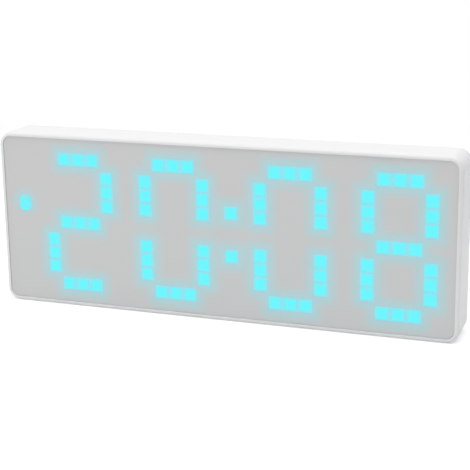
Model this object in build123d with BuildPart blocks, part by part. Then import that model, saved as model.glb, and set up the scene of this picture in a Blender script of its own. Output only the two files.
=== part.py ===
from build123d import *
import os

os.makedirs("parts", exist_ok=True)

# A white desk clock: a slim slab with a light grey panel, through which square light cells
# show the time. The origin is the middle of the base, +X is right as seen from the front,
# +Y runs to the back and +Z is up. A "depth" is a distance behind the rim's front plane.

# Body
body_width = 200.0
body_height = 75.0
body_depth = 22.0
outline_radius = 5.5
front_edge_radius = 1.4
rear_edge_step = 1.0
cover_side = 0.5
parting_chamfer = 0.25
wall = 2.2
rim_width = 1.75
cut_overrun = 1.0
small_round_sides = 8
medium_round_sides = 16

# Clearances
panel_gap = 0.1
module_gap = 0.3
moving_gap = 0.3
seat_gap = 0.2
pin_gap = 0.05

# Front panel and what lies on its back
panel_recess = 0.4
panel_thickness = 1.0
tape_thickness = 0.3
film_thickness = 0.25
ledge_width = 1.6
ledge_thickness = 1.4

# Light cells of one digit, and where the digits stand across the body's width
cell_side = 5.1
cell_wall = 0.9
bar_gap = 1.4
corner_gap = 1.2
cells_per_segment = 3
digit_margin = 7.65
display_drop = 0.35
column_lift = 0.25
digit_place_shares = {
    "hour_tens": -0.3146,
    "hour_units": -0.098,
    "minute_tens": 0.1543,
    "minute_units": 0.378,
}
colon_place_share = 0.028
colon_rise = 9.15
lit_thickness = 0.15

# Alarm sign: a round clock face with its hands cut out, and a tilted bell bar on each shoulder
sign_place_share = -0.4445
sign_z = 6.0
sign_radius = 2.55
sign_bell_length = 1.7
sign_bell_width = 0.9
sign_bell_gap = 0.4
sign_bell_tilt = 30.0
sign_hand_width = 0.55
sign_hour_hand = 1.2
sign_minute_hand = 1.6
sign_well_radius = 3.8

# Light grid
grid_base = 1.2
grid_frame = 1.4
pillar_radius = 2.6
pin_radius = 1.2
pin_stand = 0.6
grid_pin_drop = 8.0

# Light board and its parts
board_thickness = 1.2
led_width = 3.5
led_height = 2.8
led_thickness = 0.7
led_gap = 0.35
board_screw_radius = 1.1
board_screw_head_radius = 2.1
board_screw_head = 1.3
board_screw_skin = 1.6
side_screw_inset = 15.5
middle_screw_inset = 8.5

# Posts and screws that hold the rear cover
post_inset_x = 9.5
post_inset_z = 9.0
post_radius = 3.2
post_rib = 1.2
cover_screw_radius = 1.3
cover_screw_length = 10.0
cover_screw_head_radius = 2.4
cover_screw_head = 1.8
cover_screw_seat = 4.0
cover_boss_radius = 3.9

# Rear cover, and the space behind the board
rear_space = 12.15
cover_wall = 2.2
lip_gap = 0.15
lip_thickness = 1.0
lip_height = 2.0
press_post_radius = 2.0
press_post_gap = 8.9
press_post_inset = 7.5
sound_hole_radius = 0.8
sound_hole_land = 1.6
sound_hole_count = 6

# Fold-out stand
leg_width = 64.0
leg_tip_height = 6.0
leg_thickness = 2.4
leg_inset = 0.3
leg_corner_radius = 5.0
leg_notch_radius = 8.0
leg_rib_count = 3
leg_rib_length = 18.0
leg_rib_width = 0.8
leg_rib_pitch = 2.2
leg_rib_stand = 0.2
leg_rib_margin = 3.0
barrel_radius = 1.9
barrel_setback = 2.4
hinge_pin_radius = 1.0
hinge_pin_grip = 1.6
recess_floor = 1.6
recess_side = 1.8
strip_leg_gap = 0.4

# Rear buttons and their switches
button_names = ["mode", "alarm", "down", "up"]
button_pitch = 18.0
button_row_inset = 9.5
button_width = 10.0
button_height = 5.0
button_stand = 1.0
button_corner = 1.2
button_chamfer = 0.4
button_flange = 0.8
button_flange_lip = 0.8
button_stem_radius = 1.5
button_travel = 0.6
strip_end_margin = 4.0
strip_side_margin = 1.5
strip_corner = 2.0
strip_depth = 1.2
strip_floor = 2.0
switch_side = 6.0
switch_height = 3.5
switch_floor = 1.0
switch_plunger_radius = 1.7
switch_plunger_gap = 0.1
switch_plunger_stand = 1.5

# Backup cell, its holder and its door
cell_bay_inset = 32.0
cell_pass_gap = 2.0
coin_cell_radius = 10.0
coin_cell_thickness = 3.2
coin_cell_step = 0.5
coin_cell_rim = 1.2
holder_wall = 1.4
holder_gap = 0.25
holder_floor = 1.2
contact_thickness = 0.3
contact_width = 4.0
door_flange = 1.0
door_seat_width = 1.0
door_edge_chamfer = 0.3
door_lug_reach = 1.4
door_lug_thickness = 1.0
door_lug_width = 5.5
door_lug_count = 3
door_twist = 45.0
coin_slot_length = 15.0
coin_slot_width = 1.8
coin_slot_depth = 1.0

# Power socket
socket_side_inset = 30.0
socket_base_inset = 20.5
socket_width = 8.94
socket_height = 3.26
socket_shell = 0.3
socket_tongue_width = 6.7
socket_tongue_thickness = 0.7
socket_tongue_length = 4.5
socket_body_depth = 4.6
plug_pocket_width = 13.4
plug_pocket_height = 7.6
plug_pocket_depth = 1.4

# Other parts on the back of the board
buzzer_side_inset = 38.0
buzzer_top_inset = 25.5
buzzer_radius = 6.0
buzzer_height = 6.5
buzzer_port_radius = 1.0
buzzer_port_depth = 1.2
capacitor_stand_gap = 10.6
capacitor_base_inset = 27.5
capacitor_top_gap = 2.25
capacitor_radius = 3.15
capacitor_base = 6.6
capacitor_base_thickness = 1.0
chip_length = 8.0
chip_width = 6.0
chip_thickness = 1.5
chip_stand = 0.2
chip_lead = 0.5
chip_lead_pitch = 1.8
chip_lead_reach = 1.0
chip_leads = 4
chip_spread = 14.0
chip_rise = -4.0
crystal_bay_offset = 24.0
crystal_rise = -12.0
crystal_radius = 1.0
crystal_length = 6.0

# Levels, all worked out as depths behind the rim
rear_edge_radius = outline_radius - rear_edge_step
split_depth = body_depth - rear_edge_radius - cover_side
post_top_depth = split_depth - lip_height
panel_back = panel_recess + panel_thickness
panel_seat = panel_back + tape_thickness
ledge_back = panel_seat + ledge_thickness
grid_front = panel_back + film_thickness
board_back = body_depth - rear_space
board_front = board_back - board_thickness
grid_depth = board_front - grid_front
cover_inner = body_depth - cover_wall
recess_depth = barrel_setback + barrel_radius + moving_gap
recess_bottom = body_depth - recess_depth

# Distances from the outline inwards
ledge_inset = rim_width + ledge_width
module_inset = wall + module_gap
lip_outer_inset = wall + lip_gap
lip_inner_inset = lip_outer_inset + lip_thickness
post_x = body_width / 2 - post_inset_x
post_z = body_height / 2 - post_inset_z
corner_pad_width = post_inset_x + post_radius
corner_pad_height = post_inset_z + post_radius

# Pitches of the light cells, and where the display stands
bar_pitch = cell_side + bar_gap
column_pitch = cell_side + cell_wall
column_x = bar_pitch * (cells_per_segment - 1) / 2 + cell_side + corner_gap
top_row = body_height / 2 - digit_margin - cell_side / 2
column_start = (top_row - (cells_per_segment - 1) * column_pitch) / 2 + column_lift
digit_x = {name: share * body_width for name, share in digit_place_shares.items()}
colon_x = colon_place_share * body_width
sign_x = sign_place_share * body_width
well_mouth = led_width + 2 * led_gap

# Places on the light board, halfway between the digits and along their sides
left_gap_x = (digit_x["hour_tens"] + digit_x["hour_units"]) / 2
right_gap_x = (digit_x["minute_tens"] + digit_x["minute_units"]) / 2
side_screw_rise = body_height / 2 - side_screw_inset
middle_screw_rise = body_height / 2 - middle_screw_inset
grid_pin_rise = side_screw_rise - grid_pin_drop
board_screw_length = board_thickness + grid_depth - board_screw_skin

# Places at the rear, the buttons under the top edge and the stand under the buttons
button_rise = body_height / 2 - button_row_inset
strip_width = (len(button_names) - 1) * button_pitch + button_width + 2 * strip_end_margin
strip_height = button_height + 2 * strip_side_margin
strip_block_height = strip_height + cover_wall
recess_top = button_rise - strip_block_height / 2 - strip_leg_gap - recess_side
leg_axis_rise = recess_top - moving_gap - barrel_radius
leg_axis_height = body_height / 2 + leg_axis_rise
leg_length = leg_axis_height - leg_tip_height
recess_width = leg_width + 2 * moving_gap
stand_half_width = recess_width / 2 + recess_side
press_post_x = stand_half_width + press_post_gap + press_post_radius
press_post_rise = body_height / 2 - press_post_inset
cell_bay_x = body_width / 2 - cell_bay_inset
socket_x = socket_side_inset - body_width / 2
socket_rise = socket_base_inset - body_height / 2
buzzer_x = buzzer_side_inset - body_width / 2
buzzer_rise = body_height / 2 - buzzer_top_inset
sound_hole_ring = 2 * sound_hole_radius + sound_hole_land
capacitor_x = -stand_half_width - capacitor_stand_gap - capacitor_base / 2
capacitor_rise = capacitor_base_inset - body_height / 2
capacitor_height = rear_space - cover_wall - capacitor_top_gap
crystal_x = cell_bay_x - crystal_bay_offset
door_neck_radius = coin_cell_radius + cell_pass_gap
door_radius = door_neck_radius + door_seat_width

rearward = (0, 1, 0)
forward = (0, -1, 0)
middle = body_height / 2


def depth_to_y(depth):
    """The Y of a plane that lies this far behind the rim."""
    return depth - body_depth / 2


def face_plane(depth):
    """A plane parallel to the front, drawn on as seen from the front, its middle the body's middle."""
    return Plane(origin=(0, depth_to_y(depth), middle), x_dir=(1, 0, 0), z_dir=forward)


def body_outline(inset, mode=Mode.ADD):
    """The body's rounded outline, this far inside its edge."""
    RectangleRounded(
        body_width - 2 * inset, body_height - 2 * inset, outline_radius - inset, mode=mode
    )


def notch_corners(clearance):
    """Takes the four corners off a sketch, where the posts stand."""
    with GridLocations(body_width, body_height, 2, 2):
        Rectangle(
            2 * (corner_pad_width + clearance),
            2 * (corner_pad_height + clearance),
            mode=Mode.SUBTRACT,
        )


def small_round(radius, mode=Mode.ADD):
    """A round outline up to a few millimetres wide, drawn with few sides because it repeats."""
    RegularPolygon(radius, small_round_sides, mode=mode)


def medium_round(radius, around=False):
    """A larger round outline with more sides, inside the circle or, for a bore, around it."""
    RegularPolygon(radius, medium_round_sides, major_radius=not around)


def socket_outline(clearance, width=socket_width, height=socket_height):
    """The socket's outline, a bar with round ends, grown on all sides by the clearance."""
    radius = height / 2 + clearance
    Rectangle(width - height, 2 * radius)
    with GridLocations(width - height, 0, 2, 1):
        medium_round(radius)


def segment_places():
    """The cell centres of a digit's seven bars, across from its middle and up from the body's."""
    first = -bar_pitch * (cells_per_segment - 1) / 2
    bar = [first + n * bar_pitch for n in range(cells_per_segment)]
    column = [column_start + n * column_pitch for n in range(cells_per_segment)]
    upper = [z - display_drop for z in column]
    lower = [-z - display_drop for z in column]
    return {
        "top": [(x, top_row - display_drop) for x in bar],
        "middle": [(x, -display_drop) for x in bar],
        "bottom": [(x, -top_row - display_drop) for x in bar],
        "upper_left": [(-column_x, z) for z in upper],
        "upper_right": [(column_x, z) for z in upper],
        "lower_left": [(-column_x, z) for z in lower],
        "lower_right": [(column_x, z) for z in lower],
    }


segments = segment_places()
around = ["top", "bottom", "upper_left", "upper_right", "lower_left", "lower_right"]
lit_bars = {
    "2": ["top", "upper_right", "middle", "lower_left", "bottom"],
    "0": around,
    "8": around + ["middle"],
}
figures = {"hour_tens": "2", "hour_units": "0", "minute_tens": "0", "minute_units": "8"}
colon_places = [(colon_x, side * colon_rise - display_drop) for side in (1, -1)]
digit_cells = [
    (middle_x + x, z)
    for middle_x in digit_x.values()
    for places in segments.values()
    for x, z in places
]
square_cells = digit_cells + colon_places
board_screw_places = [
    (x, side * rise)
    for x, rise in (
        (left_gap_x, side_screw_rise),
        (0, middle_screw_rise),
        (right_gap_x, side_screw_rise),
    )
    for side in (-1, 1)
]
grid_pin_places = [(left_gap_x, grid_pin_rise), (right_gap_x, grid_pin_rise)]
first_button = -button_pitch * (len(button_names) - 1) / 2
button_places = [first_button + n * button_pitch for n in range(len(button_names))]


# Housing: rim, walls, the ledge behind the panel and the posts for the rear cover
with BuildPart() as housing:
    with BuildSketch(face_plane(0)):
        body_outline(0)
    extrude(amount=split_depth, dir=rearward)
    fillet(housing.faces().sort_by(Axis.Y)[0].edges(), radius=front_edge_radius)
    with BuildSketch(face_plane(-cut_overrun)):
        body_outline(rim_width)
    extrude(amount=panel_seat + cut_overrun, dir=rearward, mode=Mode.SUBTRACT)
    with BuildSketch(face_plane(panel_seat)):
        body_outline(ledge_inset)
        notch_corners(0)
    extrude(amount=ledge_thickness, dir=rearward, mode=Mode.SUBTRACT)
    with BuildSketch(face_plane(ledge_back)):
        body_outline(wall)
    extrude(amount=split_depth - ledge_back, dir=rearward, mode=Mode.SUBTRACT)
    with BuildSketch(face_plane(ledge_back)):
        with GridLocations(2 * post_x, 2 * post_z, 2, 2):
            small_round(post_radius)
    extrude(amount=post_top_depth - ledge_back, dir=rearward)
    side_rib = post_inset_x - wall / 2
    top_rib = post_inset_z - wall / 2
    with BuildSketch(face_plane(ledge_back)):
        with GridLocations(2 * post_x + side_rib, 2 * post_z, 2, 2):
            Rectangle(side_rib, post_rib)
        with GridLocations(2 * post_x, 2 * post_z + top_rib, 2, 2):
            Rectangle(post_rib, top_rib)
    rib_top = split_depth - lip_height - module_gap
    extrude(amount=rib_top - ledge_back, dir=rearward)
    with BuildSketch(face_plane(post_top_depth)):
        with GridLocations(2 * post_x, 2 * post_z, 2, 2):
            small_round(cover_screw_radius)
    screw_tip = body_depth - cover_screw_seat - cover_screw_length
    extrude(amount=post_top_depth - screw_tip, dir=forward, mode=Mode.SUBTRACT)

housing.part.label = "housing"
export_step(housing.part, "parts/housing.step")


# Front panel: a thin sheet of translucent plastic
with BuildPart() as front_panel:
    with BuildSketch(face_plane(panel_recess)):
        body_outline(rim_width + panel_gap)
    extrude(amount=panel_thickness, dir=rearward)

front_panel.part.label = "front_panel"
export_step(front_panel.part, "parts/front_panel.step")


# Adhesive frame between the panel and the ledge
with BuildPart() as panel_tape:
    with BuildSketch(face_plane(panel_back)):
        body_outline(rim_width + panel_gap)
        Rectangle(
            body_width - 2 * ledge_inset, body_height - 2 * ledge_inset, mode=Mode.SUBTRACT
        )
    extrude(amount=tape_thickness, dir=rearward)

panel_tape.part.label = "panel_tape"
export_step(panel_tape.part, "parts/panel_tape.step")


# Diffuser film on the back of the panel
with BuildPart() as diffuser_film:
    with BuildSketch(face_plane(panel_back)):
        body_outline(ledge_inset + module_gap)
        notch_corners(module_gap)
    extrude(amount=film_thickness, dir=rearward)

diffuser_film.part.label = "diffuser_film"
export_step(diffuser_film.part, "parts/diffuser_film.step")


# Light squares that show the time, each digit a group of squares on the panel's face
def lit_plane():
    """The plane of the lit squares' back, which is the panel's face."""
    return face_plane(panel_recess)


for name, figure in figures.items():
    with BuildPart() as lit_digit:
        with BuildSketch(lit_plane()):
            for bar in lit_bars[figure]:
                with Locations(*[(digit_x[name] + x, z) for x, z in segments[bar]]):
                    Rectangle(cell_side, cell_side)
        extrude(amount=lit_thickness, dir=forward)
    lit_digit.part.label = "lit_" + name
    export_step(lit_digit.part, "parts/lit_" + name + ".step")

with BuildPart() as lit_colon:
    with BuildSketch(lit_plane()):
        with Locations(*colon_places):
            Rectangle(cell_side, cell_side)
    extrude(amount=lit_thickness, dir=forward)

lit_colon.part.label = "lit_colon"
export_step(lit_colon.part, "parts/lit_colon.step")

bell_reach = sign_radius + sign_bell_gap + sign_bell_width / 2
with BuildPart() as lit_alarm_sign:
    with BuildSketch(lit_plane()):
        with Locations((sign_x, sign_z)):
            Circle(sign_radius)
            with PolarLocations(bell_reach, 2, 90 - sign_bell_tilt, 2 * sign_bell_tilt, endpoint=True):
                Rectangle(sign_bell_width, sign_bell_length)
        with Locations((sign_x, sign_z + sign_minute_hand / 2)):
            Rectangle(sign_hand_width, sign_minute_hand, mode=Mode.SUBTRACT)
        with Locations((sign_x + sign_hour_hand / 2, sign_z)):
            Rectangle(sign_hour_hand, sign_hand_width, mode=Mode.SUBTRACT)
    extrude(amount=lit_thickness, dir=forward)

lit_alarm_sign.part.label = "lit_alarm_sign"
export_step(lit_alarm_sign.part, "parts/lit_alarm_sign.step")


# Light grid: a tapered well for every cell, walled bars, a frame, screw pillars and pins
with BuildPart() as light_grid:
    with BuildSketch(face_plane(board_front - grid_base)):
        body_outline(module_inset)
        notch_corners(module_gap)
    extrude(amount=grid_base, dir=rearward)
    with BuildSketch(face_plane(ledge_back)):
        body_outline(module_inset)
        notch_corners(module_gap)
        frame_width = ledge_inset + module_gap + grid_frame
        Rectangle(
            body_width - 2 * frame_width, body_height - 2 * frame_width, mode=Mode.SUBTRACT
        )
    extrude(amount=board_front - ledge_back, dir=rearward)
    with BuildSketch(face_plane(grid_front)):
        body_outline(ledge_inset + module_gap)
        notch_corners(module_gap)
        Rectangle(
            body_width - 2 * frame_width, body_height - 2 * frame_width, mode=Mode.SUBTRACT
        )
    extrude(amount=ledge_back - grid_front, dir=rearward)
    with BuildSketch(face_plane(grid_front)):
        with Locations(*square_cells):
            Rectangle(cell_side + 2 * cell_wall, cell_side + 2 * cell_wall)
        with Locations((sign_x, sign_z)):
            small_round(sign_well_radius + cell_wall)
        with Locations(*board_screw_places):
            small_round(pillar_radius)
        body_outline(ledge_inset + module_gap, mode=Mode.INTERSECT)
        notch_corners(module_gap)
    extrude(amount=grid_depth - grid_base, dir=rearward)
    well_y = depth_to_y(grid_front + grid_depth / 2)
    well_step = (cell_side - well_mouth) / 2
    well_end = cell_side - well_step
    with Locations(*[(x, well_y, middle + z) for x, z in square_cells]):
        Wedge(
            cell_side, grid_depth, cell_side, well_step, well_step, well_end, well_end,
            mode=Mode.SUBTRACT,
        )
    with BuildSketch(face_plane(grid_front)):
        with Locations((sign_x, sign_z)):
            small_round(sign_well_radius)
    extrude(amount=grid_depth, dir=rearward, mode=Mode.SUBTRACT)
    with BuildSketch(face_plane(board_front)):
        with Locations(*board_screw_places):
            small_round(board_screw_radius)
    extrude(amount=board_screw_length - board_thickness, dir=forward, mode=Mode.SUBTRACT)
    with BuildSketch(face_plane(board_front)):
        with Locations(*grid_pin_places):
            small_round(pin_radius)
    extrude(amount=board_thickness + pin_stand, dir=rearward)

light_grid.part.label = "light_grid"
export_step(light_grid.part, "parts/light_grid.step")


# Light board with its screw and pin holes, and one light chip for every cell
with BuildPart() as light_board:
    with BuildSketch(face_plane(board_front)):
        body_outline(module_inset)
        notch_corners(module_gap)
        with Locations(*board_screw_places):
            small_round(board_screw_radius, mode=Mode.SUBTRACT)
        with Locations(*grid_pin_places):
            small_round(pin_radius, mode=Mode.SUBTRACT)
    extrude(amount=board_thickness, dir=rearward)

light_board.part.label = "light_board"
export_step(light_board.part, "parts/light_board.step")

with BuildPart() as light_chips:
    with BuildSketch(face_plane(board_front)):
        with Locations(*square_cells, (sign_x, sign_z)):
            Rectangle(led_width, led_height)
    extrude(amount=led_thickness, dir=forward)

light_chips.part.label = "light_chips"
export_step(light_chips.part, "parts/light_chips.step")

with BuildPart() as board_screws:
    with BuildSketch(face_plane(board_back)):
        with Locations(*board_screw_places):
            small_round(board_screw_head_radius)
    extrude(amount=board_screw_head, dir=rearward)
    with BuildSketch(face_plane(board_back)):
        with Locations(*board_screw_places):
            small_round(board_screw_radius)
    extrude(amount=board_screw_length, dir=forward)

board_screws.part.label = "board_screws"
export_step(board_screws.part, "parts/board_screws.step")


# Chips with their leads, on the back of the board
chip_places = [(-chip_spread, chip_rise), (chip_spread, chip_rise)]
with BuildPart() as driver_chips:
    with BuildSketch(face_plane(board_back + chip_stand)):
        with Locations(*chip_places):
            Rectangle(chip_length, chip_width)
    extrude(amount=chip_thickness, dir=rearward)
    lead_length = chip_width + 2 * chip_lead_reach
    with BuildSketch(face_plane(board_back)):
        with Locations(*chip_places):
            with GridLocations(chip_lead_pitch, 0, chip_leads, 1):
                Rectangle(chip_lead, lead_length)
    extrude(amount=chip_stand + chip_thickness / 2, dir=rearward)

driver_chips.part.label = "driver_chips"
export_step(driver_chips.part, "parts/driver_chips.step")

with BuildPart() as watch_crystal:
    crystal_y = depth_to_y(board_back) + crystal_radius
    with BuildSketch(Plane.XY.offset(middle + crystal_rise - crystal_length / 2)):
        with Locations((crystal_x, crystal_y)):
            small_round(crystal_radius)
    extrude(amount=crystal_length)

watch_crystal.part.label = "watch_crystal"
export_step(watch_crystal.part, "parts/watch_crystal.step")

with BuildPart() as capacitor:
    with BuildSketch(face_plane(board_back)):
        with Locations((capacitor_x, capacitor_rise)):
            Rectangle(capacitor_base, capacitor_base)
    extrude(amount=capacitor_base_thickness, dir=rearward)
    with BuildSketch(face_plane(board_back)):
        with Locations((capacitor_x, capacitor_rise)):
            medium_round(capacitor_radius)
    extrude(amount=capacitor_height, dir=rearward)

capacitor.part.label = "capacitor"
export_step(capacitor.part, "parts/capacitor.step")

with BuildPart() as buzzer:
    with BuildSketch(face_plane(board_back)):
        with Locations((buzzer_x, buzzer_rise)):
            medium_round(buzzer_radius)
    extrude(amount=buzzer_height, dir=rearward)
    with BuildSketch(face_plane(board_back + buzzer_height)):
        with Locations((buzzer_x, buzzer_rise)):
            small_round(buzzer_port_radius)
    extrude(amount=buzzer_port_depth, dir=forward, mode=Mode.SUBTRACT)

buzzer.part.label = "buzzer"
export_step(buzzer.part, "parts/buzzer.step")


# Power socket: a shell that ends flush with the plug pocket's floor, and its tongue
socket_end = body_depth - plug_pocket_depth
with BuildPart() as socket_shell_part:
    with BuildSketch(face_plane(board_back)):
        with Locations((socket_x, socket_rise)):
            socket_outline(0)
    extrude(amount=socket_end - board_back, dir=rearward)
    with BuildSketch(face_plane(board_back)):
        with Locations((socket_x, socket_rise)):
            socket_outline(-socket_shell)
    extrude(amount=socket_end - board_back, dir=rearward, mode=Mode.SUBTRACT)

socket_shell_part.part.label = "socket_shell"
export_step(socket_shell_part.part, "parts/socket_shell.step")

with BuildPart() as socket_core:
    with BuildSketch(face_plane(board_back)):
        with Locations((socket_x, socket_rise)):
            socket_outline(-socket_shell)
    extrude(amount=socket_body_depth, dir=rearward)
    with BuildSketch(face_plane(board_back)):
        with Locations((socket_x, socket_rise)):
            Rectangle(socket_tongue_width, socket_tongue_thickness)
    extrude(amount=socket_body_depth + socket_tongue_length, dir=rearward)

socket_core.part.label = "socket_core"
export_step(socket_core.part, "parts/socket_core.step")


# Rear cover: a rounded tray with a locating lip, hollowed before its inner features
recess_low = leg_axis_rise - leg_length - moving_gap
recess_height = recess_top - recess_low
recess_middle = (recess_top + recess_low) / 2
strip_inner = body_depth - strip_depth - strip_floor
hinge_depth = body_depth - barrel_setback
door_neck_hole = door_neck_radius + moving_gap
door_seat = body_depth - door_flange - seat_gap
lug_outer = door_neck_radius + door_lug_reach


def lug_shapes(reach, width, start):
    """The door's lugs, or their entry notches, as bars that end at the given reach."""
    with PolarLocations(reach, door_lug_count, start_angle=start):
        Rectangle(reach - door_neck_radius / 2, width, align=(Align.MAX, Align.CENTER))


def bay_plane(depth):
    """The face plane, moved to the middle of the cell bay."""
    return Plane(
        origin=(cell_bay_x, depth_to_y(depth), middle), x_dir=(1, 0, 0), z_dir=forward
    )


with BuildPart() as rear_cover:
    with BuildSketch(face_plane(split_depth)):
        body_outline(0)
    extrude(amount=body_depth - split_depth, dir=rearward)
    fillet(rear_cover.faces().sort_by(Axis.Y)[-1].edges(), radius=rear_edge_radius)
    chamfer(rear_cover.faces().sort_by(Axis.Y)[0].edges(), length=parting_chamfer)
    with BuildSketch(face_plane(split_depth - lip_height)):
        body_outline(lip_outer_inset)
    extrude(amount=lip_height, dir=rearward)
    with BuildSketch(face_plane(split_depth - lip_height)):
        Rectangle(body_width - 2 * lip_inner_inset, body_height - 2 * lip_inner_inset)
    extrude(
        amount=cover_inner - split_depth + lip_height, dir=rearward, mode=Mode.SUBTRACT
    )

    # Recess for the folded leg, with side walls that hold the pin
    with BuildSketch(face_plane(recess_bottom - recess_floor)):
        with Locations((0, recess_middle)):
            Rectangle(recess_width + 2 * recess_side, recess_height + 2 * recess_side)
    extrude(amount=cover_inner - recess_bottom + recess_floor, dir=rearward)
    with BuildSketch(face_plane(recess_bottom)) as recess_sketch:
        with Locations((0, recess_middle)):
            Rectangle(recess_width, recess_height)
        lower_corners = recess_sketch.vertices().group_by(Axis.Y)[0]
        fillet(lower_corners, radius=leg_corner_radius + moving_gap)
    extrude(amount=recess_depth + cut_overrun, dir=rearward, mode=Mode.SUBTRACT)
    pin_hole_length = recess_width + 2 * hinge_pin_grip
    with BuildSketch(Plane.YZ.offset(-pin_hole_length / 2)):
        with Locations((depth_to_y(hinge_depth), leg_axis_height)):
            Circle(hinge_pin_radius)
    extrude(amount=pin_hole_length, mode=Mode.SUBTRACT)

    # Sunk strip with the button holes
    with BuildSketch(face_plane(strip_inner)):
        with Locations((0, button_rise)):
            Rectangle(strip_width + 2 * cover_wall, strip_block_height)
    extrude(amount=cover_inner - strip_inner, dir=rearward)
    with BuildSketch(face_plane(body_depth - strip_depth)) as strip_sketch:
        with Locations((0, button_rise)):
            Rectangle(strip_width, strip_height)
        chamfer(strip_sketch.vertices(), length=strip_corner)
    extrude(amount=strip_depth + cut_overrun, dir=rearward, mode=Mode.SUBTRACT)
    with BuildSketch(face_plane(strip_inner)) as key_hole_sketch:
        with Locations(*[(x, button_rise) for x in button_places]):
            Rectangle(button_width + 2 * moving_gap, button_height + 2 * moving_gap)
        chamfer(key_hole_sketch.vertices(), length=button_corner)
    extrude(amount=strip_floor, dir=rearward, mode=Mode.SUBTRACT)

    # Bosses for the screws, and posts that press on the board
    with BuildSketch(face_plane(post_top_depth)):
        with GridLocations(2 * post_x, 2 * post_z, 2, 2):
            small_round(cover_boss_radius)
    extrude(amount=cover_inner - post_top_depth, dir=rearward)
    with BuildSketch(face_plane(board_back)):
        with GridLocations(2 * press_post_x, 2 * press_post_rise, 2, 2):
            small_round(press_post_radius)
    extrude(amount=cover_inner - board_back, dir=rearward)
    with BuildSketch(face_plane(body_depth - cover_screw_seat)):
        with GridLocations(2 * post_x, 2 * post_z, 2, 2):
            medium_round(cover_screw_head_radius + module_gap)
    extrude(amount=cover_screw_seat + cut_overrun, dir=rearward, mode=Mode.SUBTRACT)
    with BuildSketch(face_plane(post_top_depth)):
        with GridLocations(2 * post_x, 2 * post_z, 2, 2):
            small_round(cover_screw_radius + seat_gap)
    extrude(
        amount=body_depth - cover_screw_seat - post_top_depth,
        dir=rearward,
        mode=Mode.SUBTRACT,
    )

    # Door seat, its hole and the entry notches of its lugs
    with BuildSketch(bay_plane(door_seat)):
        Circle(door_radius + moving_gap)
    extrude(amount=body_depth - door_seat + cut_overrun, dir=rearward, mode=Mode.SUBTRACT)
    with BuildSketch(bay_plane(cover_inner)):
        Circle(door_neck_hole)
        lug_shapes(lug_outer + 2 * moving_gap, door_lug_width + 2 * moving_gap, -door_twist)
    extrude(amount=door_seat - cover_inner, dir=rearward, mode=Mode.SUBTRACT)

    # Plug pocket, socket hole and sound holes
    with BuildSketch(face_plane(socket_end)):
        with Locations((socket_x, socket_rise)):
            socket_outline(0, plug_pocket_width, plug_pocket_height)
    extrude(amount=plug_pocket_depth + cut_overrun, dir=rearward, mode=Mode.SUBTRACT)
    with BuildSketch(face_plane(cover_inner)):
        with Locations((socket_x, socket_rise)):
            socket_outline(seat_gap)
        with Locations((buzzer_x, buzzer_rise)):
            small_round(sound_hole_radius)
            with PolarLocations(sound_hole_ring, sound_hole_count):
                small_round(sound_hole_radius)
    extrude(amount=cover_wall, dir=rearward, mode=Mode.SUBTRACT)

rear_cover.part.label = "rear_cover"
export_step(rear_cover.part, "parts/rear_cover.step")

with BuildPart() as cover_screws:
    screw_seat_depth = body_depth - cover_screw_seat
    with BuildSketch(face_plane(screw_seat_depth)):
        with GridLocations(2 * post_x, 2 * post_z, 2, 2):
            small_round(cover_screw_head_radius)
    extrude(amount=cover_screw_head, dir=rearward)
    with BuildSketch(face_plane(screw_seat_depth)):
        with GridLocations(2 * post_x, 2 * post_z, 2, 2):
            small_round(cover_screw_radius)
    extrude(amount=cover_screw_length, dir=forward)

cover_screws.part.label = "cover_screws"
export_step(cover_screws.part, "parts/cover_screws.step")


# Stand: a plate with a hinge barrel, notched for a finger, and its steel pin
with BuildPart() as stand_leg:
    leg_outer = depth_to_y(body_depth - leg_inset)
    with BuildSketch(Plane.YZ):
        with Locations((leg_outer - leg_thickness / 2, leg_axis_height - leg_length / 2)):
            Rectangle(leg_thickness, leg_length)
        with Locations((depth_to_y(hinge_depth), leg_axis_height)):
            Circle(barrel_radius)
            Circle(hinge_pin_radius + pin_gap, mode=Mode.SUBTRACT)
    extrude(amount=leg_width / 2, both=True)
    with BuildSketch(face_plane(recess_bottom)):
        with Locations((0, leg_axis_rise - leg_length)):
            Circle(leg_notch_radius)
    extrude(amount=recess_depth, dir=rearward, mode=Mode.SUBTRACT)
    rib_rise = (
        leg_axis_rise - leg_length + leg_notch_radius + leg_rib_margin
        + leg_rib_pitch * (leg_rib_count - 1) / 2
    )
    with BuildSketch(face_plane(body_depth - leg_inset)):
        with Locations((0, rib_rise)):
            with GridLocations(0, leg_rib_pitch, 1, leg_rib_count):
                Rectangle(leg_rib_length, leg_rib_width)
    extrude(amount=leg_rib_stand, dir=rearward)
    leg_corners = (
        stand_leg.edges().filter_by(Axis.Y).filter_by(
            lambda edge: abs(abs(edge.center().X) - leg_width / 2) < pin_gap
            and edge.center().Z < leg_axis_height - leg_length + pin_gap
        )
    )
    fillet(leg_corners, radius=leg_corner_radius)

stand_leg.part.label = "stand_leg"
export_step(stand_leg.part, "parts/stand_leg.step")

with BuildPart() as stand_pin:
    with BuildSketch(Plane.YZ.offset(-pin_hole_length / 2)):
        with Locations((depth_to_y(hinge_depth), leg_axis_height)):
            Circle(hinge_pin_radius)
    extrude(amount=pin_hole_length)

stand_pin.part.label = "stand_pin"
export_step(stand_pin.part, "parts/stand_pin.step")


# Buttons: a cap through the cover, a flange that keeps it in, and a stem to its switch
switch_top = board_back + switch_height
plunger_top = switch_top + switch_plunger_stand
cap_top = body_depth - strip_depth + button_stand
flange_top = strip_inner - moving_gap

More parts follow.
